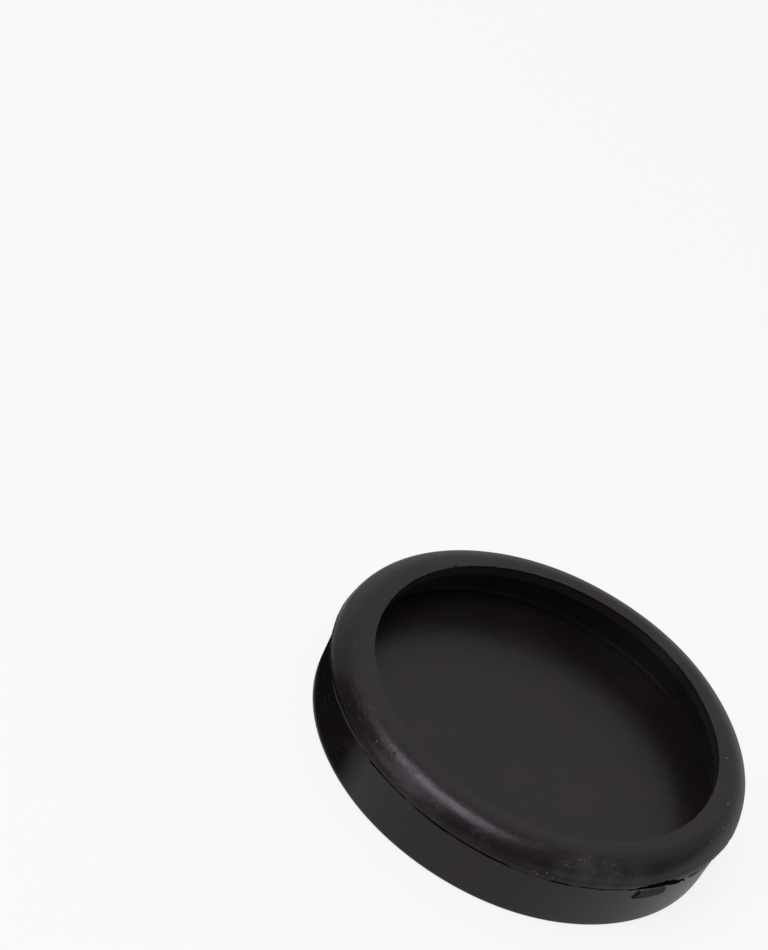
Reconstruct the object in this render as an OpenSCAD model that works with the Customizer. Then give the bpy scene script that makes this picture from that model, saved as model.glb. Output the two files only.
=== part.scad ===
// Slip-over rubber pad for the round plate at the end of a vehicle lift's arm.
// It is one moulded piece of black rubber: a thick flat floor, a wall with a little draft, and a
// rolled rim bead whose lip reaches in over the edge of the plate and holds the pad on.
// The origin is the centre of the flat outer face, and +Z runs along the axis, out of the mouth.
// All sizes are in millimetres. Heights grow from the floor up, and radii from the plate out.

/* [Plate] */
// Diameter of the steel plate that the pad slips over
plate_d = 120; // [110:0.5:130]
// Thickness of that plate at its edge
plate_t = 8; // [6:0.5:12]
// Play across the plate's diameter
plate_play = 0.6; // [0:0.1:2]
// Play over the plate's edge, under the lip
head_play = 0.4; // [0:0.1:2]

/* [Floor and wall] */
// Thickness of the solid floor
floor_t = 10; // [6:0.5:16]
// Thickness of the wall, just under the bead
wall_t = 5.3; // [4.5:0.1:8]
// Draft of the wall, so that it leaves the mould
wall_draft = 2.5; // [0.5:0.25:4]
// Radius round the edge of the flat outer face
base_edge_r = 1.2; // [0.4:0.1:2.5]
// Radius in the corner between the floor and the pocket's wall
floor_corner_r = 0.4; // [0.2:0.1:2]

/* [Rim bead] */
// How far the bead stands out over the wall
bead_step = 0.65; // [0.3:0.05:1.5]
// Height of the bead over the parting line
bead_h = 7.2; // [6.6:0.1:9]
// Width of the bead, from its widest place in to its crown
bead_w = 8.65; // [7.5:0.05:10.5]
// Radius of the bead's outer side, where it meets the parting line
bead_side_r = 5.8; // [4:0.1:6]

/* [Lip] */
// How far the lip reaches in over the plate
lip_reach = 5.3; // [3.5:0.1:7]
// Height of the upright face round the mouth
lip_face_h = 3.6; // [2.5:0.1:6]
// Slope of the lip's underside
lip_under_slope = 30; // [15:1:40]

/* [Flash] */
// How far the flash stands out over the bead
flash_out = 0.25; // [0.1:0.05:0.5]
// Thickness of the flash
flash_t = 0.35; // [0.2:0.05:0.6]

/* [Trimmed gate] */
// Direction of the gate round the axis
gate_at = -34; // [-180:1:180]
// Length of the stub along the wall
stub_w = 18; // [12:0.5:26]
// Height of the stub
stub_h = 3.1; // [2:0.1:6]
// How far the stub stands out over the wall at its thick end
stub_out = 1.4; // [0.8:0.1:2.5]
// How far the stub stands out at its thin end
stub_thin = 0.5; // [0.2:0.1:0.8]
// Length of the slope from the thick end back to the wall
stub_runout = 4.5; // [2:0.5:6]
// Length of the slot torn over the stub
tear_w = 27; // [20:0.5:34]
// Depth of the slot, in from the wall
tear_depth = 1.6; // [0.8:0.1:2.5]
// How far the slot reaches down from the parting line
tear_drop = 1.5; // [0.8:0.1:2.4]
// How far the slot bites up into the bead
tear_lift = 0.45; // [0.1:0.05:1]
// Height of the slot under the flash at its thin end
tear_thin = 0.3; // [0.2:0.05:0.6]

/* [Hidden] */
// Sides of the whole turn, and of the small round parts of the section
turn_fn = 240;
arc_fn = 96;
// How far a cut runs on past the face that it opens
spare = 1;

pocket_r = (plate_d + plate_play) / 2;
mouth_r = pocket_r - lip_reach;
shoulder_r = pocket_r + wall_t;
bead_r = shoulder_r + bead_step;
outer_r = bead_r + flash_out;

// The bead's section is two arcs that meet smoothly: a tight one at the side and a flatter crown
crown_r = bead_r - bead_w;
arc_shift = bead_w - bead_side_r;
crown_arc_r = (arc_shift ^ 2 + bead_h ^ 2 - bead_side_r ^ 2) / (2 * (bead_h - bead_side_r));
crown_drop = crown_arc_r - sqrt(crown_arc_r ^ 2 - (crown_r - mouth_r) ^ 2);

// Heights, from the floor up
pocket_top = floor_t + plate_t + head_play;
lip_bottom = pocket_top + lip_reach * tan(lip_under_slope);
mouth_z = lip_bottom + lip_face_h;
total_h = mouth_z + crown_drop;
parting_z = total_h - bead_h;

side_arc = [bead_r - bead_side_r, parting_z];
crown_arc = [crown_r, total_h - crown_arc_r];
arc_turn = atan2(side_arc[1] - crown_arc[1], side_arc[0] - crown_arc[0]);
arc_join = side_arc + bead_side_r * [cos(arc_turn), sin(arc_turn)];

// The drafted wall, from the parting line down to the flat outer face
base_r = shoulder_r - parting_z * tan(wall_draft);
base_arc_z = base_edge_r;
base_arc_r = base_r + base_arc_z * tan(wall_draft) - base_edge_r / cos(wall_draft);
base_join = [base_arc_r + base_edge_r * cos(wall_draft), base_arc_z - base_edge_r * sin(wall_draft)];

// The stub grows out of the middle of the wall
stub_root = shoulder_r - wall_t / 2;

// Half-section of the floor block and the drafted wall, with its rounded bottom edge
module wall_section() {
    polygon([
        [0, 0],
        [base_arc_r, 0],
        [base_arc_r, base_arc_z],
        base_join,
        [shoulder_r, parting_z],
        [0, parting_z]
    ]);
    intersection() {
        translate([base_arc_r, base_arc_z]) circle(r = base_edge_r, $fn = arc_fn);
        translate([base_arc_r, 0]) square([2 * base_edge_r, base_arc_z]);
    }
}

// Half-section of the rim bead above the parting line
module bead_section() {
    polygon([[0, parting_z], side_arc, arc_join, crown_arc, [0, crown_arc[1]]]);
    intersection() {
        translate(side_arc) circle(r = bead_side_r, $fn = arc_fn);
        polygon([side_arc, side_arc + [2 * bead_side_r, 0], arc_join + [2 * bead_side_r, 0], arc_join]);
    }
    intersection() {
        translate(crown_arc) circle(r = crown_arc_r, $fn = arc_fn);
        polygon([
            [0, parting_z],
            side_arc,
            arc_join,
            arc_join + [0, crown_arc_r],
            [0, arc_join[1] + crown_arc_r]
        ]);
    }
}

// Half-section of the thin flash that the mould's joint leaves under the bead
module flash_section() {
    translate([shoulder_r - wall_t / 2, parting_z - flash_t])
        square([outer_r - shoulder_r + wall_t / 2, flash_t]);
}

// Half-section of the pocket for the plate, its undercut and the mouth over it
module pocket_section() {
    corner = [pocket_r - floor_corner_r, floor_t + floor_corner_r];
    polygon([
        [0, floor_t],
        [corner[0], floor_t],
        corner,
        [pocket_r, corner[1]],
        [pocket_r, pocket_top],
        [mouth_r, lip_bottom],
        [mouth_r, total_h + spare],
        [0, total_h + spare]
    ]);
    intersection() {
        translate(corner) circle(r = floor_corner_r, $fn = arc_fn);
        translate([corner[0], floor_t]) square(floor_corner_r);
    }
}

// Outline of the gate's stub from above: cut off by hand at a slant, so one end stands out most
module stub_plan() {
    polygon([
        [stub_root, -stub_w / 2],
        [shoulder_r, -stub_w / 2],
        [shoulder_r + stub_thin, -stub_w / 2 + stub_thin],
        [shoulder_r + stub_out, stub_w / 2 - stub_runout],
        [shoulder_r, stub_w / 2],
        [stub_root, stub_w / 2]
    ]);
}

// Outline of the stub from its end, with a top that slopes down and out from the slot
module stub_side() {
    polygon([
        [stub_root, -tear_drop - stub_h],
        [shoulder_r, -tear_drop - stub_h],
        [shoulder_r + stub_out, -tear_drop - stub_h + stub_thin],
        [shoulder_r + stub_out, -tear_drop - stub_thin],
        [shoulder_r, -tear_drop],
        [stub_root, -tear_drop]
    ]);
}

module gate_stub() {
    rotate([0, 0, gate_at]) translate([0, 0, parting_z]) intersection() {
        translate([0, 0, -tear_drop - stub_h]) linear_extrude(stub_h) stub_plan();
        translate([0, stub_w / 2 + spare, 0])
            rotate([90, 0, 0])
                linear_extrude(stub_w + 2 * spare) stub_side();
    }
}

// Slot torn through the flash over the stub: thin at one end, deep at the other, and up into the bead
module tear_outline() {
    polygon([
        [-tear_w / 2, -flash_t - tear_thin],
        [stub_w / 2, -tear_drop],
        [tear_w / 2, -flash_t / 2],
        [stub_w / 2 + stub_thin, tear_lift],
        [stub_w / 3, tear_lift],
        [-tear_w / 2, -flash_t / 2]
    ]);
}

module gate_tear() {
    rotate([0, 0, gate_at])
        translate([shoulder_r - tear_depth, 0, parting_z])
            rotate([90, 0, 90])
                linear_extrude(tear_depth + bead_step + flash_out + spare) tear_outline();
}

module lift_pad() {
    color([0.06, 0.058, 0.062])
        difference() {
            union() {
                rotate_extrude($fn = turn_fn)
                    difference() {
                        union() {
                            wall_section();
                            bead_section();
                            flash_section();
                        }
                        pocket_section();
                    }
                gate_stub();
            }
            gate_tear();
        }
}

lift_pad();
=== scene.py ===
"""A slip-over rubber pad for the round plate of a vehicle lift's arm, dressed over its CAD solid."""
import math
import random

import bmesh
import bpy
import numpy as np
from mathutils import Matrix, Vector


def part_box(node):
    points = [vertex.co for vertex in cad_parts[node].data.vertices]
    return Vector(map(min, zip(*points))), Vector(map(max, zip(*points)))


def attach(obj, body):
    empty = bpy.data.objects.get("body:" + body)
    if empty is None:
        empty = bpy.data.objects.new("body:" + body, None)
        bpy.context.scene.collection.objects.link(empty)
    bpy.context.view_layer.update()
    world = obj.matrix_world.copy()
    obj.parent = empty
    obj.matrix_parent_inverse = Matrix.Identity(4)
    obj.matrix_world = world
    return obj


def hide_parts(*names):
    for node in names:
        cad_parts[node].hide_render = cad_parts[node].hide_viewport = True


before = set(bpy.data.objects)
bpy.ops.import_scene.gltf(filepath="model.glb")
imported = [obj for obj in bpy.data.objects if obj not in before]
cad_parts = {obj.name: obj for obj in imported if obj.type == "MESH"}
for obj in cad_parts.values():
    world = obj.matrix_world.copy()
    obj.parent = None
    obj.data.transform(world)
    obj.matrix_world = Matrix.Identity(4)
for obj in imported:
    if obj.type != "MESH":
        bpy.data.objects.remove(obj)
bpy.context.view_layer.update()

# ---------------------------------------------------------------------------------------------
# Camera. It looks down into the pad from the front and is rolled, so that the pad, which lies
# flat, stands tilted in view. It is a long lens, with no shift and no depth of field.
# ---------------------------------------------------------------------------------------------
IMAGE_W, IMAGE_H = 768, 950
FOCAL_PX = 4000.0
PAD_AT_PX = (514.5, 757.9)
PX_PER_M = 3368.4
ROLL = math.radians(28.07)
TILT = math.radians(36.23)
SENSOR = 36.0
SEES_TO = 20

# The pad's axis as the camera sees it, with x to the right, y down and z ahead
pad_axis = Vector((math.cos(TILT) * math.sin(ROLL), -math.cos(TILT) * math.cos(ROLL), -math.sin(TILT)))
pad_side = pad_axis.cross(Vector((0, 0, 1))).normalized()
pad_ahead = pad_axis.cross(pad_side)
to_pad = Vector((PAD_AT_PX[0] - IMAGE_W / 2, PAD_AT_PX[1] - IMAGE_H / 2, FOCAL_PX)) / PX_PER_M
to_frame = Matrix((pad_side, pad_ahead, pad_axis))
eye = to_frame @ -to_pad
to_front = Matrix.Rotation(-math.pi / 2 - math.atan2(eye.y, eye.x), 3, "Z")
aim = to_front @ to_frame

camera = bpy.data.objects.new("camera", bpy.data.cameras.new("camera"))
bpy.context.collection.objects.link(camera)
camera.data.sensor_width = SENSOR
camera.data.lens = FOCAL_PX * SENSOR / max(IMAGE_W, IMAGE_H)
camera.data.clip_end = SEES_TO
camera.matrix_world = Matrix.Translation(aim @ -to_pad) @ (aim @ Matrix.Diagonal((1, -1, -1))).to_4x4()
bpy.context.scene.camera = camera

# ---------------------------------------------------------------------------------------------
# Moulded body. One piece of black rubber, pressed in a two-part mould: floor, drafted wall,
# rolled rim bead and the lip that grips the plate. Its half-section is drawn with true arcs and
# swept round the axis by Geometry Nodes, with the steps crowded together at the gate.
# ---------------------------------------------------------------------------------------------
MM = 0.001
TOTAL_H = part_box("lift_pad")[1].z / MM
FLASH_OUT = 0.25
FLASH_T = 0.35
BEAD_R = 66.25
BEAD_STEP = 0.65
BEAD_W = 8.65
BEAD_H = 7.2
BEAD_SIDE_R = 5.8
SHOULDER_R = BEAD_R - BEAD_STEP
WALL_T = 5.3
LIP_REACH = 5.3
POCKET_R = SHOULDER_R - WALL_T
MOUTH_R = POCKET_R - LIP_REACH
FLOOR_T = 10.0
POCKET_TOP = 18.4
LIP_FACE_H = 3.6
PARTING_Z = TOTAL_H - BEAD_H
DRAFT = math.tan(math.radians(2.5))
BASE_EDGE_R = 1.2
CORNER_R = 0.05
INNER_ARC_R = 24.0
GATE_AT = math.radians(-34)
TURN_STEPS = 500
CROWDING = 0.46
SIDE_CROWDING = 0.11
FINE_WALL, FINE_ROWS = 5.6, 42
SIDE_SPLIT = 12


def arc(centre, radius, start, stop, steps):
    """Points of an arc in the half-section, with angles in degrees from straight out to straight up."""
    angles = np.radians(np.linspace(start, stop, steps + 1))
    return [(centre[0] + radius * math.cos(a), centre[1] + radius * math.sin(a)) for a in angles]


def straight(start, stop, steps):
    """Points of a straight stretch of the half-section, without its two ends."""
    return [tuple(np.array(start) + (np.array(stop) - np.array(start)) * i / steps) for i in range(1, steps)]


def half_section():
    """The pad's half-section, as radius and height in mm, from the pocket floor's centre to the base's."""
    crown_r = BEAD_R - BEAD_W
    arc_shift = BEAD_W - BEAD_SIDE_R
    crown_arc_r = (arc_shift**2 + BEAD_H**2 - BEAD_SIDE_R**2) / (2 * (BEAD_H - BEAD_SIDE_R))
    crown_at = (crown_r, TOTAL_H - crown_arc_r)
    side_at = (BEAD_R - BEAD_SIDE_R, PARTING_Z)
    join = math.degrees(math.atan2(side_at[1] - crown_at[1], side_at[0] - crown_at[0]))
    inner_at = (crown_r, TOTAL_H - INNER_ARC_R)
    mouth_turn = 90 + math.degrees(math.asin((crown_r - MOUTH_R) / INNER_ARC_R))
    mouth_z = inner_at[1] + INNER_ARC_R * math.sin(math.radians(mouth_turn))
    base_r = SHOULDER_R - PARTING_Z * DRAFT
    floor_end = (POCKET_R - CORNER_R, FLOOR_T)
    wall_foot = (POCKET_R, FLOOR_T + CORNER_R)
    lip_bottom = (MOUTH_R, mouth_z - LIP_FACE_H)
    lip_top = (MOUTH_R, mouth_z)
    flash_foot = (SHOULDER_R, PARTING_Z - FLASH_T)
    fine_foot = (SHOULDER_R - FINE_WALL * DRAFT, PARTING_Z - FINE_WALL)
    base_edge = (base_r - BASE_EDGE_R, BASE_EDGE_R)
    points = [(0, FLOOR_T)] + straight((0, FLOOR_T), floor_end, 14)
    points += arc((floor_end[0], wall_foot[1]), CORNER_R, -90, 0, 1)
    points += straight(wall_foot, (POCKET_R, POCKET_TOP), 6) + [(POCKET_R, POCKET_TOP)]
    points += straight((POCKET_R, POCKET_TOP), lip_bottom, 5) + [lip_bottom]
    points += straight(lip_bottom, lip_top, 7)
    points += arc(inner_at, INNER_ARC_R, mouth_turn, 90, 7) + arc(crown_at, crown_arc_r, 90, join, 20)[1:]
    points += arc(side_at, BEAD_SIDE_R, join, SIDE_SPLIT, 14)[1:]
    points += arc(side_at, BEAD_SIDE_R, SIDE_SPLIT, 0, 9)[1:]
    flash = ((FLASH_OUT * 0.75, FLASH_T * 0.4), (FLASH_OUT * 0.7, FLASH_T * 0.7), (-FLASH_OUT, FLASH_T))
    points += [(BEAD_R + out, PARTING_Z - down) for out, down in flash] + [flash_foot]
    points += straight(flash_foot, fine_foot, FINE_ROWS) + [fine_foot]
    points += straight(fine_foot, (base_r + BASE_EDGE_R * DRAFT, BASE_EDGE_R), 12)
    points += arc(base_edge, BASE_EDGE_R, 0, -90, 7) + straight((base_edge[0], 0), (0, 0), 10) + [(0, 0)]
    return points


def node_of(tree, kind, inputs=None, **settings):
    """Adds a node to a tree, with its settings, and its inputs given as sockets or as plain values."""
    node = tree.nodes.new(kind)
    for name, value in settings.items():
        setattr(node, name, value)
    for key, value in (inputs or {}).items():
        if isinstance(value, bpy.types.NodeSocket):
            tree.links.new(value, node.inputs[key])
        else:
            node.inputs[key].default_value = value
    return node


def calc(tree, operation, first, second=None, third=None, clamp=False):
    """A Math node's result, where each input is a socket or a number."""
    given = {i: v for i, v in enumerate((first, second, third)) if v is not None}
    return node_of(tree, "ShaderNodeMath", given, operation=operation, use_clamp=clamp).outputs[0]


def spread(tree, value, low, high, to_low=0.0, to_high=1.0, smooth=False):
    """A Map Range node's result: from to_low, where the value is low, to to_high, where it is high."""
    given = {"Value": value, "From Min": low, "From Max": high, "To Min": to_low, "To Max": to_high}
    kind = "SMOOTHSTEP" if smooth else "LINEAR"
    return node_of(tree, "ShaderNodeMapRange", given, interpolation_type=kind).outputs["Result"]


def vector_calc(tree, operation, first, second=None):
    """A Vector Math node's outputs, where each input is a socket or a vector."""
    given = {0: first} if second is None else {0: first, 1: second}
    return node_of(tree, "ShaderNodeVectorMath", given, operation=operation).outputs


def blend(tree, factor, first, second, **settings):
    """A colour between two others, given as sockets or as plain colours."""
    first, second = (c if isinstance(c, bpy.types.NodeSocket) else (*c, 1) for c in (first, second))
    given = {"Factor": factor, 6: first, 7: second}
    return node_of(tree, "ShaderNodeMix", given, data_type="RGBA", **settings).outputs[2]


def object_spot(tree):
    """Where the shaded point lies on the object, in metres."""
    return tree.nodes.new("ShaderNodeTexCoord").outputs["Object"]


def open_tree(name, kind, inputs, outputs):
    """A new node group with these named sockets, as (name, socket type, default), and its two ends."""
    tree = bpy.data.node_groups.new(name, kind)
    for label, socket_type, default in inputs:
        socket = tree.interface.new_socket(label, in_out="INPUT", socket_type=socket_type)
        if default is not None:
            socket.default_value = default
    for label, socket_type in outputs:
        tree.interface.new_socket(label, in_out="OUTPUT", socket_type=socket_type)
    return tree, tree.nodes.new("NodeGroupInput").outputs, tree.nodes.new("NodeGroupOutput").inputs


def sweep_tree():
    """Sweeps a half-section, whose points hold radius in X and height in Z, once round the Z axis."""
    tree, given, made = open_tree(
        "sweep_section",
        "GeometryNodeTree",
        [
            ("Section", "NodeSocketGeometry", None),
            ("Turn Steps", "NodeSocketInt", 360),
            ("Gate Direction", "NodeSocketFloat", 0.0),
            ("Crowding", "NodeSocketFloat", 0.0),
            ("Side Crowding", "NodeSocketFloat", 0.0),
            ("Rubber", "NodeSocketMaterial", None),
        ],
        [("Body", "NodeSocketGeometry")],
    )
    size = node_of(tree, "GeometryNodeAttributeDomainSize", {"Geometry": given["Section"]}, component="MESH")
    count = size.outputs["Point Count"]
    rings = calc(tree, "ADD", given["Turn Steps"], 1)
    grid = node_of(tree, "GeometryNodeMeshGrid", {"Vertices X": rings, "Vertices Y": count})
    index = tree.nodes.new("GeometryNodeInputIndex").outputs[0]
    step = calc(tree, "FLOOR", calc(tree, "DIVIDE", calc(tree, "ADD", index, 0.5), count))
    place = calc(tree, "ROUND", calc(tree, "SUBTRACT", index, calc(tree, "MULTIPLY", step, count)))
    even = calc(tree, "MULTIPLY", calc(tree, "DIVIDE", step, given["Turn Steps"]), 2 * math.pi)
    twice = calc(tree, "SINE", calc(tree, "MULTIPLY", even, 2.0))
    crowd = calc(tree, "MULTIPLY", calc(tree, "SINE", even), given["Crowding"])
    crowd = calc(tree, "MULTIPLY_ADD", twice, given["Side Crowding"], crowd)
    angle = calc(tree, "ADD", calc(tree, "SUBTRACT", even, crowd), given["Gate Direction"])
    position = tree.nodes.new("GeometryNodeInputPosition").outputs[0]
    sample = node_of(
        tree,
        "GeometryNodeSampleIndex",
        {"Geometry": given["Section"], "Index": place},
        data_type="FLOAT_VECTOR",
        domain="POINT",
    )
    tree.links.new(position, sample.inputs["Value"])
    parts = node_of(tree, "ShaderNodeSeparateXYZ", {0: sample.outputs[0]}).outputs
    x = calc(tree, "MULTIPLY", parts["X"], calc(tree, "COSINE", angle))
    y = calc(tree, "MULTIPLY", parts["X"], calc(tree, "SINE", angle))
    whole = node_of(tree, "ShaderNodeCombineXYZ", {"X": x, "Y": y, "Z": parts["Z"]}).outputs[0]
    swept = {"Geometry": grid.outputs["Mesh"], "Position": whole}
    moved = node_of(tree, "GeometryNodeSetPosition", swept).outputs[0]
    merged = node_of(tree, "GeometryNodeMergeByDistance", {"Geometry": moved, "Distance": 1e-6}).outputs[0]
    real = node_of(tree, "GeometryNodeRealizeInstances", {0: merged}).outputs[0]
    dressed = node_of(tree, "GeometryNodeSetMaterial", {"Geometry": real, "Material": given["Rubber"]})
    tree.links.new(dressed.outputs[0], made["Body"])
    return tree


def grow(name, mesh, tree, values):
    """Runs a Geometry Nodes tree on a mesh with these input values, and gives the plain mesh it makes."""
    seed = bpy.data.objects.new(name + "_seed", mesh)
    bpy.context.collection.objects.link(seed)
    modifier = seed.modifiers.new("grow", "NODES")
    modifier.node_group = tree
    for item in tree.interface.items_tree:
        if item.item_type == "SOCKET" and item.in_out == "INPUT" and item.name in values:
            modifier[item.identifier] = values[item.name]
    result = bpy.data.meshes.new_from_object(seed.evaluated_get(bpy.context.evaluated_depsgraph_get()))
    bpy.data.objects.remove(seed)
    result.name = name
    return result


def wound_noise(tree, spot, per_turn, per_m, detail, distortion):
    """Noise that is drawn out round the axis, with its own scale along the turn and across it."""
    parts = node_of(tree, "ShaderNodeSeparateXYZ", {0: spot}).outputs
    flat = node_of(tree, "ShaderNodeCombineXYZ", {"X": parts["X"], "Y": parts["Y"], "Z": 0.0}).outputs[0]
    radius = vector_calc(tree, "LENGTH", flat)["Value"]
    heading = vector_calc(tree, "NORMALIZE", flat)[0]
    wound = node_of(tree, "ShaderNodeVectorMath", {0: heading, "Scale": per_turn}, operation="SCALE")
    wound_parts = node_of(tree, "ShaderNodeSeparateXYZ", {0: wound.outputs[0]}).outputs
    across = calc(tree, "MULTIPLY", radius, per_m)
    along = node_of(tree, "ShaderNodeCombineXYZ", {"X": wound_parts["X"], "Y": wound_parts["Y"], "Z": across})
    values = {
        "Vector": along.outputs[0],
        "W": calc(tree, "MULTIPLY", parts["Z"], per_m),
        "Scale": 1.0,
        "Detail": detail,
        "Roughness": 0.65,
        "Distortion": distortion,
    }
    return node_of(tree, "ShaderNodeTexNoise", values, noise_dimensions="4D").outputs[0]


def skin_marks_group():
    """What every face of the rubber shows: soft blotches, marks drawn round the axis, and a fine grain."""
    tree, given, made = open_tree(
        "skin_marks",
        "ShaderNodeTree",
        [
            ("Blotches per m", "NodeSocketFloat", 60.0),
            ("Marks per Turn", "NodeSocketFloat", 14.0),
            ("Marks per m", "NodeSocketFloat", 900.0),
            ("Grains per m", "NodeSocketFloat", 1500.0),
            ("Ripples per m", "NodeSocketFloat", 260.0),
        ],
        [(label, "NodeSocketFloat") for label in ("Blotch", "Marks", "Grain", "Ripple")],
    )
    spot = object_spot(tree)
    marks = wound_noise(tree, spot, given["Marks per Turn"], given["Marks per m"], 4.0, 0.35)
    tree.links.new(marks, made["Marks"])
    for output, scale, detail, roughness, distortion in (
        ("Blotch", "Blotches per m", 3.0, 0.55, 0.6),
        ("Grain", "Grains per m", 3.0, 0.6, 0.0),
        ("Ripple", "Ripples per m", 2.0, 0.5, 0.3),
    ):
        values = {"Detail": detail, "Roughness": roughness, "Distortion": distortion}
        noise = node_of(tree, "ShaderNodeTexNoise", {"Vector": spot, "Scale": given[scale], **values})
        tree.links.new(noise.outputs[0], made[output])
    return tree


def patch_group():
    """A soft-edged patch round one spot of the ring, broken up into streaks that run round the axis."""
    tree, given, made = open_tree(
        "patch",
        "ShaderNodeTree",
        [
            ("Spot", "NodeSocketVector", None),
            ("Reach", "NodeSocketFloat", 0.01),
            ("Streaks per Turn", "NodeSocketFloat", 40.0),
            ("Streaks per m", "NodeSocketFloat", 1800.0),
            ("Cover", "NodeSocketFloat", 0.5),
        ],
        [("Mask", "NodeSocketFloat"), ("Soft", "NodeSocketFloat")],
    )
    spot = object_spot(tree)
    away = vector_calc(tree, "DISTANCE", spot, given["Spot"])["Value"]
    near = spread(tree, calc(tree, "DIVIDE", away, given["Reach"]), 1.0, 0.1, smooth=True)
    streak = wound_noise(tree, spot, given["Streaks per Turn"], given["Streaks per m"], 5.0, 0.9)
    covered = calc(tree, "MULTIPLY", given["Cover"], calc(tree, "MULTIPLY", near, 0.55))
    edge = calc(tree, "SUBTRACT", 0.80, covered)
    sharp = calc(tree, "MULTIPLY", calc(tree, "SUBTRACT", streak, edge), 5.0, clamp=True)
    tree.links.new(calc(tree, "MULTIPLY", sharp, near), made["Mask"])
    tree.links.new(calc(tree, "MULTIPLY", near, calc(tree, "MULTIPLY_ADD", streak, 2.2, -0.1)), made["Soft"])
    return tree


def new_material(name, colour, roughness, specular):
    """A Principled material with a plain colour, whose other looks are added by its own section."""
    material = bpy.data.materials.new(name)
    material.use_nodes = True
    shader = material.node_tree.nodes["Principled BSDF"]
    shader.inputs["Base Color"].default_value = (*colour, 1)
    shader.inputs["Roughness"].default_value = roughness
    shader.inputs["Specular IOR Level"].default_value = specular
    return material, shader


def group_in(tree, group, inputs):
    """Places a shader node group in a material with its own values."""
    node = tree.nodes.new("ShaderNodeGroup")
    node.node_tree = group
    for key, value in inputs.items():
        node.inputs[key].default_value = value
    return node.outputs


def ring_spot(angle, radius, height):
    """A point of the pad from its direction in degrees and its radius and height in mm, in metres."""
    a = math.radians(angle)
    return Vector((radius * math.cos(a), radius * math.sin(a), height)) * MM


skin_marks = skin_marks_group()
patch = patch_group()

RUBBER_DARK = (0.0094, 0.0070, 0.0096)
RUBBER_WARM = (0.0122, 0.0080, 0.0100)
RUBBER_PALE = (0.060, 0.0550, 0.0605)
GLOSS_TINT = (1.0, 0.905, 1.0, 1)
BEAD_STARTS = (54.5 * MM, 56.5 * MM)
MARKS_PALE = 0.35
rubber, rubber_shader = new_material("moulded_rubber", RUBBER_DARK, 0.28, 0.42)
rubber_shader.inputs["Specular Tint"].default_value = GLOSS_TINT
tree = rubber.node_tree
skin = group_in(tree, skin_marks, {})
spot = object_spot(tree)
spot_parts = node_of(tree, "ShaderNodeSeparateXYZ", {0: spot}).outputs
flat_spot = node_of(tree, "ShaderNodeCombineXYZ", {"X": spot_parts["X"], "Y": spot_parts["Y"], "Z": 0.0})
spot_radius = vector_calc(tree, "LENGTH", flat_spot.outputs[0])["Value"]
on_bead = spread(tree, spot_radius, *BEAD_STARTS)
colour = blend(tree, spread(tree, skin["Blotch"], 0.48, 0.72), RUBBER_DARK, RUBBER_WARM)
marks_seen = calc(tree, "MULTIPLY", spread(tree, skin["Marks"], 0.56, 0.8), on_bead)
pale = calc(tree, "MULTIPLY", marks_seen, MARKS_PALE)

# Scuffs: direction, radius and height in mm, reach in mm, how much the streaks cover, and how pale they are
SCUFFS = [
    (-57, 64.0, 23.0, 8.5, 0.66, 0.80),
    (-49.5, 64.4, 22.4, 6.5, 0.64, 0.80),
    (-63.5, 63.8, 23.2, 6.0, 0.64, 0.80),
    (-54, 61.5, 24.5, 6.0, 0.52, 0.60),
    (-112, 64.4, 22.2, 13.0, 0.60, 0.45),
    (-101, 65.0, 21.6, 9.0, 0.60, 0.40),
    (-133, 62.5, 24.0, 12.0, 0.56, 0.30),
    (-170, 64.0, 22.5, 16.0, 0.58, 0.25),
    (-88, 65.2, 21.0, 12.0, 0.54, 0.25),
    (93, 37.0, 10.0, 9.0, 0.54, 0.14),
    (70, 49.0, 10.0, 10.0, 0.56, 0.16),
    (-8, 62.0, 24.0, 14.0, 0.56, 0.25),
    (120, 60.0, 25.0, 18.0, 0.56, 0.20),
    (40, 64.0, 22.0, 16.0, 0.56, 0.20),
]
# Nicks and pimples: direction, radius and height in mm, and reach in mm
NICKS = [
    (-60.3, 62.4, 24.2, 0.9),
    (-53.2, 63.8, 23.0, 0.8),
    (-50.6, 62.7, 24.0, 0.6),
    (-49.0, 64.3, 22.5, 0.9),
    (-55.5, 65.0, 21.4, 0.7),
    (-57.5, 61.0, 24.9, 0.6),
    (-107.0, 60.5, 25.0, 0.7),
    (-118.0, 63.0, 23.7, 0.6),
    (-124.0, 64.6, 22.2, 0.7),
    (-15.0, 63.0, 23.7, 0.7),
    (60.0, 60.0, 25.1, 0.7),
    (-160.0, 62.0, 24.4, 0.8),
]
# Paler patches: direction, radius and height, reach, and paleness. Those from -65 to -44 follow rubbed wear
# on the bead; those at -109 and -100 on the bead and those at radius 55 mm on the lip's face are painted
# light, paleness that stands in for light reflected there
RUBBED_AND_PAINTED_LIGHT = [
    (138, 57.0, 25.3, 22.0, 0.14),
    (-59, 64.5, 22.4, 7.0, 0.56),
    (-52, 65.0, 21.7, 7.0, 0.50),
    (-44, 65.5, 20.6, 8.0, 0.36),
    (-65, 65.0, 21.8, 5.0, 0.30),
    (-109, 65.3, 21.0, 8.0, 0.32),
    (-100, 65.4, 20.9, 7.0, 0.14),
    (66, 55.0, 23.0, 15.0, 0.20),
    (80, 60.3, 15.0, 16.0, 0.09),
    (38, 55.0, 23.0, 14.0, 0.08),
    (112, 55.0, 23.0, 20.0, 0.07),
]
scuffed = paled = None
for angle, radius, height, reach, cover, paleness in SCUFFS:
    values = {"Spot": ring_spot(angle, radius, height), "Reach": reach * MM, "Cover": cover}
    mask = group_in(tree, patch, values)["Mask"]
    tint = calc(tree, "MULTIPLY", mask, paleness)
    scuffed = mask if scuffed is None else calc(tree, "MAXIMUM", scuffed, mask)
    paled = tint if paled is None else calc(tree, "MAXIMUM", paled, tint)
dented = None
for angle, radius, height, reach in NICKS:
    values = {"Spot": ring_spot(angle, radius, height), "Reach": reach * MM, "Streaks per m": 500.0}
    dent = group_in(tree, patch, values)["Soft"]
    dented = dent if dented is None else calc(tree, "MAXIMUM", dented, dent)
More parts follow.
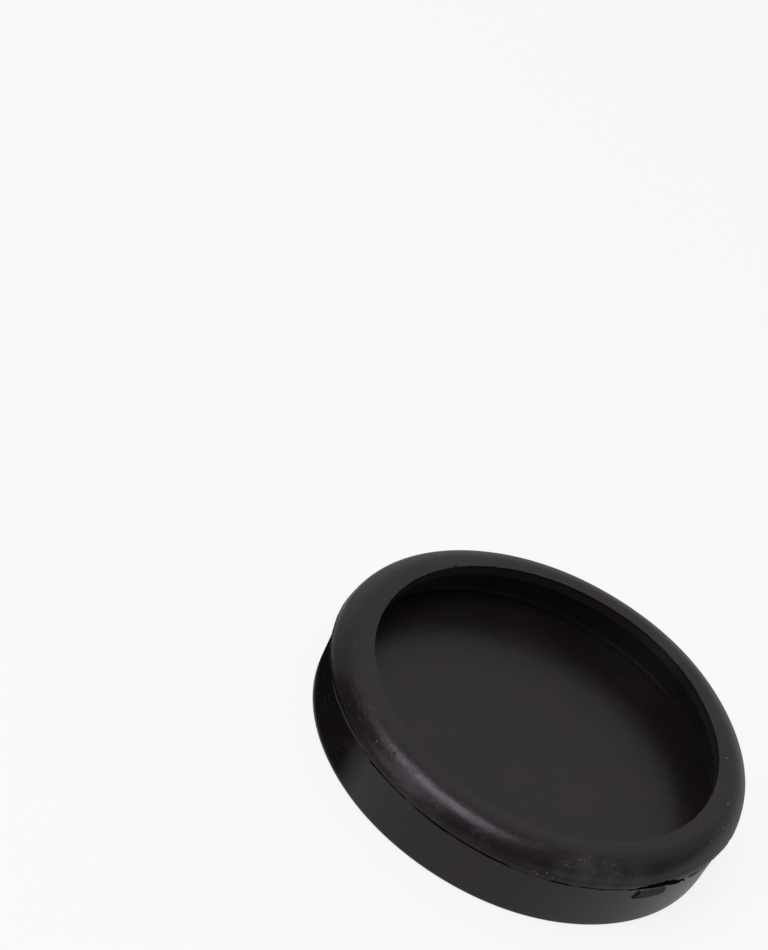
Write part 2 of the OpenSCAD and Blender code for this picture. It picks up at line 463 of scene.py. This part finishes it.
# Rubbed wear and painted light both make the skin paler here
for angle, radius, height, reach, paleness in RUBBED_AND_PAINTED_LIGHT:
    values = {"Spot": ring_spot(angle, radius, height), "Reach": reach * MM, "Streaks per m": 500.0}
    tint = calc(tree, "MULTIPLY", group_in(tree, patch, values)["Soft"], paleness)
    paled = calc(tree, "MAXIMUM", paled, tint)
# The painted highlight from the mesh, on the stub's ledge, the sill and the standing flash
painted_highlight = node_of(tree, "ShaderNodeAttribute", {}, attribute_name="painted_highlight").outputs["Fac"]
pale = calc(tree, "MAXIMUM", calc(tree, "MAXIMUM", pale, paled), painted_highlight)

# The pocket's side and the lip's face are made a little paler: painted light, paleness that stands in for
# light reflected there
POCKET_PAINTED_LIGHT = 0.13
inside_wall = spread(tree, spot_radius, 62.5 * MM, 61.5 * MM)
off_floor = spread(tree, spot_parts["Z"], 10.1 * MM, 11 * MM)
under_crown = spread(tree, spot_parts["Z"], 24.7 * MM, 24.2 * MM)
pocket_painted_light = calc(tree, "MULTIPLY", calc(tree, "MULTIPLY", inside_wall, off_floor), under_crown)
painted_light_here = calc(tree, "MULTIPLY_ADD", skin["Blotch"], POCKET_PAINTED_LIGHT, POCKET_PAINTED_LIGHT / 2)
pocket_painted_light = calc(tree, "MULTIPLY", pocket_painted_light, painted_light_here)
pale = calc(tree, "ADD", pale, pocket_painted_light)
# A painted highlight share over 1 goes past the pale tone, for the brightest of them, on the sill
toned = blend(tree, pale, colour, RUBBER_PALE, clamp_factor=False)
tree.links.new(toned, rubber_shader.inputs["Base Color"])

# Roughness and relief are sums of what each mark adds; the relief is in steps of SKIN_RELIEF metres
SKIN_RELIEF = 0.000022
on_floor = calc(tree, "MULTIPLY", inside_wall, calc(tree, "SUBTRACT", 1.0, off_floor))
roughness = calc(tree, "MULTIPLY_ADD", skin["Blotch"], 0.06, 0.245)
for mask, adds in ((on_floor, 0.05), (marks_seen, 0.12), (scuffed, 0.16)):
    roughness = calc(tree, "ADD", roughness, calc(tree, "MULTIPLY", mask, adds))
tree.links.new(roughness, rubber_shader.inputs["Roughness"])
height = calc(tree, "MULTIPLY", skin["Marks"], calc(tree, "MULTIPLY_ADD", on_bead, 2.2, 0.2))
for mask, adds in ((dented, 6.0), (skin["Grain"], 0.12), (skin["Ripple"], 3.4), (scuffed, 1.4)):
    height = calc(tree, "ADD", height, calc(tree, "MULTIPLY", mask, adds))
bump = node_of(tree, "ShaderNodeBump", {"Strength": 1.0, "Distance": SKIN_RELIEF, "Height": height})
tree.links.new(bump.outputs[0], rubber_shader.inputs["Normal"])

# Rubber that was torn or cut, where the skin of the mould is missing: matt, grainy and drawn out sideways
TORN_DARK, TORN_PALE = (0.0085, 0.0072, 0.0085), (0.026, 0.0238, 0.026)
TORN_RELIEF = 0.00013
torn_rubber, torn_shader = new_material("torn_rubber", TORN_DARK, 0.62, 0.35)
torn_shader.inputs["Specular Tint"].default_value = GLOSS_TINT
tree = torn_rubber.node_tree
torn_scale = {"Blotches per m": 380.0, "Marks per Turn": 16.0, "Marks per m": 2400.0, "Grains per m": 5200.0}
torn_skin = group_in(tree, skin_marks, torn_scale)
torn_colour = blend(tree, spread(tree, torn_skin["Marks"], 0.42, 0.62), TORN_DARK, TORN_PALE)
tree.links.new(torn_colour, torn_shader.inputs["Base Color"])
tree.links.new(calc(tree, "MULTIPLY_ADD", torn_skin["Blotch"], 0.35, 0.42), torn_shader.inputs["Roughness"])
height = calc(tree, "ADD", torn_skin["Marks"], calc(tree, "MULTIPLY", torn_skin["Grain"], 0.5))
bump = node_of(tree, "ShaderNodeBump", {"Strength": 1.0, "Distance": TORN_RELIEF, "Height": height})
tree.links.new(bump.outputs[0], torn_shader.inputs["Normal"])

# Rubber down in a crack, in the slot and on the stub's end face: the torn skin again, but darker, which is
# painted shade for the little light that gets in there
CRACK_SHADE = (0.0045, 0.0038, 0.0045)
CRACK_TONES = (0.002, 0.010)
CRACK_RELIEF = 0.00008
shaded_crack_rubber, crack_shader = new_material("shaded_crack_rubber", CRACK_SHADE, 0.8, 0.12)
tree = shaded_crack_rubber.node_tree
crack_skin = group_in(tree, skin_marks, {"Blotches per m": 500.0, "Grains per m": 4200.0})
crack_tone = spread(tree, crack_skin["Grain"], 0.0, 1.0, *CRACK_TONES)
crack_colour = node_of(tree, "ShaderNodeCombineColor", {channel: crack_tone for channel in (0, 1, 2)})
tree.links.new(crack_colour.outputs[0], crack_shader.inputs["Base Color"])
tree.links.new(calc(tree, "MULTIPLY_ADD", crack_skin["Blotch"], 0.2, 0.7), crack_shader.inputs["Roughness"])
relief = {"Strength": 1.0, "Distance": CRACK_RELIEF, "Height": crack_skin["Grain"]}
bump = node_of(tree, "ShaderNodeBump", relief)
tree.links.new(bump.outputs[0], crack_shader.inputs["Normal"])

section_mesh = bpy.data.meshes.new("half_section")
section_points = [(r * MM, 0, z * MM) for r, z in half_section()]
section_mesh.from_pydata(section_points, [(i, i + 1) for i in range(len(section_points) - 1)], [])
body_mesh = grow(
    "pad_body",
    section_mesh,
    sweep_tree(),
    {
        "Turn Steps": TURN_STEPS,
        "Gate Direction": GATE_AT,
        "Crowding": CROWDING,
        "Side Crowding": SIDE_CROWDING,
        "Rubber": rubber,
    },
)
body_mesh.materials.clear()
for skin_material in (rubber, torn_rubber, shaded_crack_rubber):
    body_mesh.materials.append(skin_material)
shape = bmesh.new()
shape.from_mesh(body_mesh)
if shape.calc_volume(signed=True) < 0:
    bmesh.ops.reverse_faces(shape, faces=shape.faces)
shape.to_mesh(body_mesh)
shape.free()


def round_noise(angle, waves, seed):
    """A smooth random value round the turn, between about -1 and 1, that closes on itself."""
    draw = random.Random(seed)
    total = sum(np.sin(k * angle + draw.uniform(0, 2 * math.pi)) * draw.uniform(0.5, 1.0) for k in waves)
    return total / math.sqrt(len(waves)) / 0.75


def ramp(value, start, stop):
    """Rises smoothly from 0 to 1 as the value goes from start to stop."""
    t = np.clip((value - start) / (stop - start), 0, 1)
    return t * t * (3 - 2 * t)


def window(value, start, stop, soft):
    """1 between start and stop, with soft ends."""
    return ramp(value, start - soft, start + soft) * (1 - ramp(value, stop - soft, stop + soft))


place = np.empty(len(body_mesh.vertices) * 3)
body_mesh.vertices.foreach_get("co", place)
place = place.reshape(-1, 3) / MM
radius = np.hypot(place[:, 0], place[:, 1])
angle = np.arctan2(place[:, 1], place[:, 0])
height = place[:, 2].copy()
turn_deg = np.degrees(angle)
from_parting = height - PARTING_Z
outside = radius > SHOULDER_R - 1.2

# The mould's joint: a groove under the flash, whose lower lip faces up, deeper in some stretches than others.
# Stretches are given by direction in degrees, from and to, and how deep the groove is there.
JOINT_STRETCHES = [
    (-150, -122, 0.75),
    (-122, -107.5, 1.0),
    (-104, -78, 1.0),
    (-66, -61.5, 1.0),
    (-58, -50, 0.6),
    (-50, -40, 1.2),
    (-26, -7, 1.3),
]
GIVEN_FROM, GIVEN_TO = -152, -4
GAPE, GAPE_LOW = (-22, -10), 2.6
GROOVE_DEPTH, GROOVE_LOW, GROOVE_LIP = 1.0, 1.5, 1.9
groove = 0.12 + sum(depth * window(turn_deg, a, b, 0.7) for a, b, depth in JOINT_STRETCHES)
anywhere = np.clip(0.5 + 0.6 * round_noise(angle, (7, 11, 17, 26, 41), 5), 0, 1.1)
given_part = window(turn_deg, GIVEN_FROM, GIVEN_TO, 3)
groove = groove * given_part + anywhere * (1 - given_part)
groove = groove * (1 + 0.22 * round_noise(angle, (60, 97, 140), 11))
groove_low = GROOVE_LOW + 0.16 * round_noise(angle, (19, 31, 47, 83), 12)
groove_low += 0.5 * window(turn_deg, -27, -21.5, 1) + GAPE_LOW * window(turn_deg, *GAPE, 2)
inside_groove = np.clip((groove_low + from_parting) / (groove_low - FLASH_T), 0, 1)
inside_groove *= from_parting < -FLASH_T + 0.01
groove_cut = GROOVE_DEPTH * groove * np.sin(np.clip(inside_groove * GROOVE_LIP, 0, 1) * math.pi / 2)
radius -= np.where(outside, groove_cut, 0)
cracked = outside & (groove_cut > 0.3)
fin = outside & (radius > BEAD_R + 0.1) & (np.abs(from_parting) < FLASH_T)
radius += np.where(fin, 0.04 * round_noise(angle, (38, 61, 90, 133), 3), 0)
STANDING_FLASH = (-147, -125)
TRIMMED_FROM, TRIMMED_TO = -172, -8
trimmed = window(turn_deg, TRIMMED_FROM, STANDING_FLASH[0] - 1, 2)
trimmed = trimmed + window(turn_deg, STANDING_FLASH[1] + 1, TRIMMED_TO, 3)
radius -= np.where(fin, 0.16 * trimmed, 0)
radius += np.where(fin, 0.10 * window(turn_deg, *STANDING_FLASH, 2), 0)
crease = np.exp(-(((from_parting - 0.42) / 0.2) ** 2))
radius -= np.where(outside, 0.10 * crease * window(turn_deg, -142, -124, 2), 0)

# The nick in the joint, near the front
NICK_AT, NICK_WIDE = -71.2, 0.42
nick = np.exp(-(((turn_deg - NICK_AT) / NICK_WIDE) ** 2)) * window(from_parting, -0.6, 0.9, 0.25)
radius -= np.where(outside, 0.5 * nick, 0)

# The gate's stub, cut off by hand at a slant, and the slot that tore open over it. Places are in mm along
# the wall from the gate's middle, and heights in mm over the parting line, but GATE_LOWEST is over the
# base. The sill is the strip of wall between stub and slot.
GATE_LOWEST = 6
SLOT_FROM, SLOT_TO = -15.5, 11.2
STUB_FROM, STUB_TO, STUB_THIN, STUB_OUT, STUB_RUNOUT = -8.3, 4.2, 0.55, 1.05, 2.0
STUB_SLANT = 1.3
ROW_STEP = (FINE_WALL - FLASH_T) / FINE_ROWS
STUB_RISE, STUB_FOOT_SLOPE = 4.0, 0.22
STUB_TOP = ([-9, -2, 2.0, 4.2], [-2.5, -2.78, -3.0, -3.3])
STUB_FOOT = ([-9, -2.0, 1.6, 4.2], [-5.6, -5.3, -4.8, -3.75])
SILL = 0.6
SLOT_TOP = (
    [SLOT_FROM, -10.3, -5.6, -2.1, 1.1, 3.5, 7.4, 9.6, SLOT_TO],
    [-0.4, -0.15, 0.75, 1.0, 1.1, 0.85, -0.4, -1.4, -2.7],
)
SLOT_FOOT = (
    [SLOT_FROM, -9.2, -3.8, 0.0, 3.4, 6.4, 9.0, SLOT_TO],
    [-0.6, -1.5, -1.85, -2.1, -2.45, -3.2, -3.75, -3.2],
)
SLOT_DEPTH = ([SLOT_FROM, -9.0, -3.0, 6.0, 9.5, SLOT_TO], [0.3, 1.0, 1.9, 2.1, 1.5, 0.5])
along = ((angle - GATE_AT + math.pi) % (2 * math.pi) - math.pi) * SHOULDER_R
wobble = 0.05 * np.sin(along * 2.1) + 0.04 * np.sin(along * 5.3 + 1.0)
slot_top = np.interp(along, *SLOT_TOP) + wobble
slot_foot = np.interp(along, *SLOT_FOOT)
stub_top = np.interp(along, *STUB_TOP)
stub_foot = np.interp(along, *STUB_FOOT)
slot_foot = np.where(along < STUB_TO, np.maximum(slot_foot, stub_top + SILL), slot_foot)

# The rows of points next to these edges are moved onto them, so that the edges come out clean
at_slot = outside & (along > SLOT_FROM) & (along < SLOT_TO)
at_gate = at_slot & (height > GATE_LOWEST)
for edge in (slot_foot, stub_top, stub_foot):
    beside = at_gate & (np.abs(edge - from_parting) <= ROW_STEP / 2 + 0.001)
    beside &= from_parting < -FLASH_T - 0.01
    height += np.where(beside, edge - from_parting, 0)
    from_parting = height - PARTING_Z

slant = STUB_SLANT * np.clip((from_parting - STUB_FOOT[1][0]) / 3.2, 0, 1)
plan = np.interp(along, [STUB_FROM, STUB_TO - STUB_RUNOUT, STUB_TO], [STUB_THIN, STUB_OUT, 0])
plan *= np.clip((along - STUB_FROM - slant) / 0.25 + 1, 0, 1)
below_top = stub_top - from_parting
over = np.where(below_top > 0.001, below_top * STUB_RISE, 0)
under = (from_parting - stub_foot) * STUB_OUT / STUB_FOOT_SLOPE
stub = np.clip(np.minimum(np.minimum(plan, over), under), 0, None)
stub = np.where(outside & (from_parting < -FLASH_T) & (height > GATE_LOWEST), stub, 0)
cut_face = (stub > 0.3) & (stub > plan - 0.02) & (along < STUB_TO - STUB_RUNOUT + 0.3)
radius += stub + np.where(cut_face, 0.035 * np.sin(from_parting * 9 + 0.35 * along), 0)
in_slot = at_slot & (from_parting < slot_top) & (from_parting > slot_foot + 0.01)
slot_share = np.clip(np.minimum((slot_top - from_parting) / 0.2, (from_parting - slot_foot) / 0.1), 0, 1)
slot_depth = np.interp(along, *SLOT_DEPTH)
slot_depth -= 0.9 * ramp(along, 1.0, 6.0) * ramp(-from_parting, 0.4, 3.2)
ribs = 0.12 * np.sin(along * 5.2 + 1.8 * np.sin(from_parting * 3)) * ramp(along, -2.0, 3.0)
radius = np.where(in_slot, radius + (SHOULDER_R - slot_depth + ribs - radius) * slot_share, radius)

# The pad isn't quite round or flat, as rubber isn't
radius += 0.06 * round_noise(angle, (2, 3, 5, 8), 21) * ramp(radius, 40, 56)
height += 0.05 * round_noise(angle, (2, 3, 6, 9), 22) * ramp(height, 12, 20)
lip_edge = (radius < MOUTH_R + 0.6) & (radius > MOUTH_R - 0.5) & (height > TOTAL_H - 1.5)
radius += np.where(lip_edge, 0.05 * round_noise(angle, (45, 70, 101, 150), 23), 0)

place[:, 0] = radius * np.cos(angle)
place[:, 1] = radius * np.sin(angle)
place[:, 2] = height
body_mesh.vertices.foreach_set("co", (place * MM).ravel())
body_mesh.update()

# Painted highlight: the stub's top ledge, the sill over it, and the flash where it still stands are made
# pale, standing in for the light they catch
SILL_HIGHLIGHT, FLASH_HIGHLIGHT = 2.4, 0.22
ledge = (stub > 0.02) & (stub < 0.97 * plan) & (below_top < 0.5) & (along > STUB_FROM + STUB_SLANT)
sill = outside & (from_parting < slot_foot + 0.02) & (from_parting > stub_top - 0.02)
sill &= (along > STUB_FROM + 1) & (along < STUB_TO)
painted_highlight = np.maximum(ledge * 1.0, sill * SILL_HIGHLIGHT)
painted_highlight = np.maximum(painted_highlight, FLASH_HIGHLIGHT * fin * window(turn_deg, *STANDING_FLASH, 2))
end_face = outside & (np.abs(along - STUB_FROM - slant + 0.1) < 0.35) & (below_top > 0) & (under > 0)
body_mesh.attributes.new("painted_highlight", "FLOAT", "POINT").data.foreach_set("value", painted_highlight)
TORN_SLOT, CRACK_SLOT = 1, 2
face_of = np.zeros(len(body_mesh.polygons), dtype=np.int32)
# Faces in the slot, deep in the groove and on the stub's end face take the crack rubber, whose darkness is
# painted shade
for i, face in enumerate(body_mesh.polygons):
    corners = list(face.vertices)
    deep = in_slot[corners].sum() > 1 or cracked[corners].all() or end_face[corners].all()
    face_of[i] = CRACK_SLOT if deep else TORN_SLOT * int(cut_face[corners].sum() > 2)
body_mesh.polygons.foreach_set("material_index", face_of)
body_mesh.shade_smooth()
body_mesh.set_sharp_from_angle(angle=math.radians(48))

body = bpy.data.objects.new("pad_body", body_mesh)
bpy.context.collection.objects.link(body)
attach(body, "root")
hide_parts("lift_pad")

# ---------------------------------------------------------------------------------------------
# Crumbs and lint. Tiny torn bits of rubber that the trimming left on the edge of the mouth and
# on the flash, and a few pale specks of lint and chalk that lie on the rim.
# ---------------------------------------------------------------------------------------------
SPECK_SHAPE = (1.0, 0.62, 0.45)
SPECK_RAGGED = 0.00022
LINT_DARK, LINT_PALE = (0.10, 0.095, 0.095), (0.46, 0.45, 0.45)


def speck_tree():
    """Puts an uneven little grain on every point, turned and sized at random."""
    tree, given, made = open_tree(
        "specks",
        "GeometryNodeTree",
        [
            ("Points", "NodeSocketGeometry", None),
            ("Smallest", "NodeSocketFloat", 0.0001),
            ("Largest", "NodeSocketFloat", 0.0003),
            ("Seed", "NodeSocketInt", 1),
            ("Stuff", "NodeSocketMaterial", None),
        ],
        [("Specks", "NodeSocketGeometry")],
    )
    grain = node_of(tree, "GeometryNodeMeshIcoSphere", {"Radius": 1.0, "Subdivisions": 2}).outputs["Mesh"]
    turn = node_of(tree, "FunctionNodeRandomValue", {}, data_type="FLOAT_VECTOR")
    turn.inputs["Max"].default_value = (math.tau, math.tau, math.tau)
    tree.links.new(given["Seed"], turn.inputs["Seed"])
    size = node_of(tree, "FunctionNodeRandomValue", {}, data_type="FLOAT")
    tree.links.new(given["Smallest"], size.inputs[2])
    tree.links.new(given["Largest"], size.inputs[3])
    tree.links.new(given["Seed"], size.inputs["Seed"])
    even = node_of(tree, "ShaderNodeCombineXYZ", {axis: size.outputs[1] for axis in "XYZ"}).outputs[0]
    flat = vector_calc(tree, "MULTIPLY", even, SPECK_SHAPE)[0]
    placed = node_of(
        tree,
        "GeometryNodeInstanceOnPoints",
        {"Points": given["Points"], "Instance": grain, "Rotation": turn.outputs[0], "Scale": flat},
    )
    real = node_of(tree, "GeometryNodeRealizeInstances", {0: placed.outputs[0]}).outputs[0]
    where = tree.nodes.new("GeometryNodeInputPosition").outputs[0]
    rough = node_of(tree, "ShaderNodeTexNoise", {"Vector": where, "Scale": 7000.0, "Detail": 1.0}).outputs[1]
    centred = vector_calc(tree, "SUBTRACT", rough, (0.5, 0.5, 0.5))[0]
    offset = node_of(tree, "ShaderNodeVectorMath", {0: centred, "Scale": SPECK_RAGGED}, operation="SCALE")
    ragged = node_of(tree, "GeometryNodeSetPosition", {"Geometry": real, "Offset": offset.outputs[0]})
    stuffed = {"Geometry": ragged.outputs[0], "Material": given["Stuff"]}
    dressed = node_of(tree, "GeometryNodeSetMaterial", stuffed).outputs[0]
    tree.links.new(dressed, made["Specks"])
    return tree


def sprinkle(name, spots, smallest, largest, seed, stuff):
    """Grows one piece from specks at these spots of the pad, sized in mm, and lets it ride on the pad."""
    points = bpy.data.meshes.new(name + "_points")
    points.from_pydata([ring_spot(*s) for s in spots], [], [])
    values = {"Smallest": smallest * MM, "Largest": largest * MM, "Seed": seed, "Stuff": stuff}
    piece = bpy.data.objects.new(name, grow(name, points, specks, values))
    bpy.context.collection.objects.link(piece)
    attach(piece, "root")


specks = speck_tree()
lint, lint_shader = new_material("pale_lint", (0.55, 0.54, 0.52), 0.9, 0.2)
tree = lint.node_tree
fluff = node_of(tree, "ShaderNodeTexNoise", {"Vector": object_spot(tree), "Scale": 3000.0}).outputs[0]
tree.links.new(blend(tree, fluff, LINT_DARK, LINT_PALE), lint_shader.inputs["Base Color"])

# Spots of the specks: direction in degrees, radius and height in mm
LINT_SPOTS = [
    (20.0, 57.4, 25.48),
    (1.4, 60.3, 25.13),
    (1.65, 60.45, 25.1),
    (-6.0, 59.5, 25.26),
    (-7.3, 62.8, 23.9),
    (-68.4, 66.1, 19.9),
]
FLECK_SPOTS = [
    (-12.9, 56.7, 25.44),
    (-70.6, 66.2, 18.3),
    (-66.4, 66.25, 18.9),
    (-59.3, 62.3, 24.25),
    (-53.6, 62.2, 24.25),
    (-51.2, 62.3, 24.25),
    (-50.0, 64.7, 22.35),
    (-52.9, 64.6, 22.4),
    (-64.3, 64.1, 22.95),
    (-137.5, 65.6, 21.2),
    (-133.3, 60.4, 25.05),
    (-106.5, 59.3, 25.15),
]
sprinkle("lint", LINT_SPOTS, 0.2, 0.34, 4, lint)
sprinkle("flecks", FLECK_SPOTS, 0.1, 0.22, 5, lint)
CRUMB_SPOTS = [
    (146.6, 55.3, 25.15),
    (145.2, 55.4, 25.15),
    (143.9, 55.3, 25.15),
    (143.0, 55.5, 25.15),
    (137.2, 55.3, 25.15),
    (136.2, 55.4, 25.15),
    (130.3, 55.2, 25.1),
    (128.9, 55.3, 25.15),
    (127.3, 55.1, 25.1),
    (124.4, 55.3, 25.15),
    (123.2, 55.2, 25.1),
    (117.8, 55.2, 25.1),
    (-158.0, 66.1, 17.7),
    (-157.2, 66.1, 17.6),
]
sprinkle("crumbs", CRUMB_SPOTS, 0.4, 0.7, 9, torn_rubber)

# ---------------------------------------------------------------------------------------------
# Floor. A plain white sheet. The camera sees it white, with the pad's own soft shadow on it, and
# the pad's gloss sees it glow, brightest close round the pad, dimmer farther out and behind it, and brighter
# to the right.
# ---------------------------------------------------------------------------------------------
FLOOR_SIZE = 6.0
WHITE_TO_CAMERA = 0.86
GLOSS_NEAR, GLOSS_FRONT, GLOSS_BACK = 0.61, 0.32, 0.34
GLOSS_RIGHT = 0.20
BACK_WAY, RIGHT_WAY = (0.5, 0.87, 0), (0.94, 0.34, 0)
FLOOR_DROP = 0.0001
half = FLOOR_SIZE / 2
floor_mesh = bpy.data.meshes.new("floor")
corners = [(x * half, y * half, -FLOOR_DROP) for x, y in ((-1, -1), (1, -1), (1, 1), (-1, 1))]
floor_mesh.from_pydata(corners, [], [(0, 1, 2, 3)])
floor = bpy.data.objects.new("floor", floor_mesh)
bpy.context.collection.objects.link(floor)
paper, paper_shader = new_material("white_paper", (0.88, 0.88, 0.88), 0.9, 0.0)
tree = paper.node_tree
spot = object_spot(tree)
away = vector_calc(tree, "LENGTH", spot)["Value"]
behind = vector_calc(tree, "DOT_PRODUCT", spot, BACK_WAY)["Value"]
close = spread(tree, away, 0.115, 0.082, GLOSS_FRONT, GLOSS_NEAR, smooth=True)
to_back = spread(tree, behind, 0, 0.065, smooth=True)
gloss_level = node_of(tree, "ShaderNodeMix", {"Factor": to_back, 2: close, 3: GLOSS_BACK}, data_type="FLOAT")
to_right = vector_calc(tree, "DOT_PRODUCT", spot, RIGHT_WAY)["Value"]
right_glow = spread(tree, to_right, 0.07, 0.16, 0, GLOSS_RIGHT, smooth=True)
gloss_level = calc(tree, "ADD", gloss_level.outputs[0], right_glow)
rays = tree.nodes.new("ShaderNodeLightPath").outputs
mirrored = calc(tree, "ADD", rays["Is Glossy Ray"], rays["Is Transmission Ray"], clamp=True)
glow_level = calc(tree, "MAXIMUM", rays["Is Camera Ray"], calc(tree, "MULTIPLY", mirrored, gloss_level))
whitened = calc(tree, "MULTIPLY", rays["Is Camera Ray"], WHITE_TO_CAMERA)
share = calc(tree, "ADD", mirrored, whitened, clamp=True)
glow = node_of(tree, "ShaderNodeEmission", {"Strength": glow_level})
mixer = node_of(tree, "ShaderNodeMixShader", {0: share, 1: paper_shader.outputs[0], 2: glow.outputs[0]})
# Seen from below, the sheet is clear, so that it doesn't hide the pad's base
underside = tree.nodes.new("ShaderNodeNewGeometry").outputs["Backfacing"]
from_below = calc(tree, "MULTIPLY", underside, rays["Is Camera Ray"])
clear = tree.nodes.new("ShaderNodeBsdfTransparent").outputs[0]
sheet = node_of(tree, "ShaderNodeMixShader", {0: from_below, 1: mixer.outputs[0], 2: clear}).outputs[0]
tree.links.new(sheet, tree.nodes["Material Output"].inputs["Surface"])
floor_mesh.materials.append(paper)

# ---------------------------------------------------------------------------------------------
# Studio surroundings. White walls that are brightest behind the pad and overhead, and fall off to
# a dimmer side behind the camera, with a low pale card on the right and one dim patch high up at
# the back right. The camera itself sees plain white.
# ---------------------------------------------------------------------------------------------
FRONT_LEVEL = 0.17
BACK_LEVEL = 0.55
BRIGHT_SIDE = math.radians(104)
LOW_SHARE, HIGH_SHARE = 0.86, 1.34
FRONT_CARD = 0.48
CARD_WAY = (math.cos(math.radians(-10)), math.sin(math.radians(-10)), 0)
DIM_WAY, DIM_SHARE = (0.645, 0.504, 0.574), 0.15
world = bpy.data.worlds.new("studio")
bpy.context.scene.world = world
world.use_nodes = True
tree = world.node_tree
heading = tree.nodes.new("ShaderNodeTexCoord").outputs["Generated"]
bright_way = (math.cos(BRIGHT_SIDE), math.sin(BRIGHT_SIDE), 0)
towards = vector_calc(tree, "DOT_PRODUCT", heading, bright_way)["Value"]
level = spread(tree, towards, -0.45, 0.85, FRONT_LEVEL, BACK_LEVEL, smooth=True)
rise = node_of(tree, "ShaderNodeSeparateXYZ", {0: heading}).outputs["Z"]
lift = spread(tree, rise, 0.56, 0.76, LOW_SHARE, HIGH_SHARE, smooth=True)
level = calc(tree, "MULTIPLY", level, lift)
at_dim = vector_calc(tree, "DOT_PRODUCT", heading, DIM_WAY)["Value"]
level = calc(tree, "MULTIPLY", level, spread(tree, at_dim, 0.91, 0.985, 1, 1 - DIM_SHARE))
at_card = vector_calc(tree, "DOT_PRODUCT", heading, CARD_WAY)["Value"]
card_level = spread(tree, at_card, 0.35, 0.85, 0, FRONT_CARD)
level = calc(tree, "ADD", level, calc(tree, "MULTIPLY", card_level, spread(tree, rise, 0.36, 0.12)))
seen = tree.nodes.new("ShaderNodeLightPath").outputs["Is Camera Ray"]
tree.links.new(calc(tree, "MAXIMUM", level, seen), tree.nodes["Background"].inputs["Strength"])
tree.nodes["Background"].inputs["Color"].default_value = (1, 1, 1, 1)

# ---------------------------------------------------------------------------------------------
# Lamps. A large soft box hangs over the front left, and a tall dimmer panel stands on the left.
# Dark flags beside the pad keep the white floor and walls out of its left side's gloss.
# ---------------------------------------------------------------------------------------------
OVERHEAD = 3.9
SIDE = 1.15
BOX_HEIGHT = 1.3
BOX_WAYS = ((-0.683, -0.417, 1), (0.70, -0.21, 0), (0.13, 0.49, 0))
PANEL_AWAY = 1.2
PANEL_HEIGHT = 1.4
PANEL_ENDS = (-146.5, -119)


def lamp_panel(name, corner, along, up, radiance):
    """A rectangular lamp from one corner and its two edges, as bright as a face of that radiance."""
    corner, along, up = Vector(corner), Vector(along), Vector(up)
    lamp = bpy.data.lights.new(name, "AREA")
    lamp.shape = "RECTANGLE"
    lamp.size, lamp.size_y = along.length, up.length
    lamp.energy = radiance * math.pi * along.length * up.length
    item = bpy.data.objects.new(name, lamp)
    bpy.context.collection.objects.link(item)
    facing = Matrix((along.normalized(), up.normalized(), along.cross(up).normalized())).transposed()
    item.matrix_world = Matrix.Translation(corner + (along + up) / 2) @ facing.to_4x4()
    item.visible_camera = False


box_corner, box_along, box_up = (Vector(way) * BOX_HEIGHT for way in BOX_WAYS)
lamp_panel("overhead_box", box_corner, box_along, box_up, OVERHEAD)
panel_left, panel_right = (ring_spot(direction, PANEL_AWAY / MM, 0) for direction in PANEL_ENDS)
lamp_panel("side_panel", panel_left, panel_right - panel_left, (0, 0, PANEL_HEIGHT), SIDE)


def dark_flag(name, points, faces, tone, cover):
    """A card that only the pad's gloss can see, thinned out where its cover is less than 1."""
    mesh = bpy.data.meshes.new(name)
    mesh.from_pydata(points, [], faces)
    mesh.attributes.new("cover", "FLOAT", "POINT").data.foreach_set("value", cover)
    felt, felt_shader = new_material(name + "_felt", (tone, tone, tone), 1.0, 0.0)
    covered = node_of(felt.node_tree, "ShaderNodeAttribute", {}, attribute_name="cover").outputs["Fac"]
    felt.node_tree.links.new(covered, felt_shader.inputs["Alpha"])
    mesh.materials.append(felt)
    flag = bpy.data.objects.new(name, mesh)
    bpy.context.collection.objects.link(flag)
    flag.visible_camera = flag.visible_diffuse = flag.visible_shadow = False


# One flag stands on the left, and one lies curved round the foot of the wall, where it fades out
STANDING_X, STANDING_Y, STANDING_TOP, STANDING_TONE = -0.12, (-0.096, -0.020), 0.095, 0.16
low_ends = [(STANDING_X, y, 0) for y in STANDING_Y]
high_ends = [(STANDING_X, y, STANDING_TOP) for y in reversed(STANDING_Y)]
dark_flag("standing_flag", low_ends + high_ends, [(0, 1, 2, 3)], STANDING_TONE, [1.0] * 4)
MAT_FROM, MAT_TO, MAT_STEPS, MAT_FADE = -182, -122, 20, 3
MAT_NARROW, MAT_WIDE, MAT_WIDENS = 0.038, 0.06, (-152, -136)
MAT_TONE = 0.004
mat, mat_faces, mat_cover = [], [], []
for i in range(MAT_STEPS + 1):
    turn_to = MAT_FROM + (MAT_TO - MAT_FROM) * i / MAT_STEPS
    mirror = math.radians(2 * turn_to + 85)
    inner = ring_spot(turn_to, SHOULDER_R - 0.2, 0.4)
    reach = MAT_NARROW + (MAT_WIDE - MAT_NARROW) * float(ramp(turn_to, *MAT_WIDENS))
    mat += [inner, inner + Vector((math.cos(mirror), math.sin(mirror), 0)) * reach]
    mat_cover += [min(1.0, (MAT_STEPS - i) / MAT_FADE)] * 2
    if i:
        mat_faces.append((2 * i - 2, 2 * i - 1, 2 * i + 1, 2 * i))
dark_flag("lying_flag", mat, mat_faces, MAT_TONE, mat_cover)

bpy.context.scene.view_settings.view_transform = "Standard"
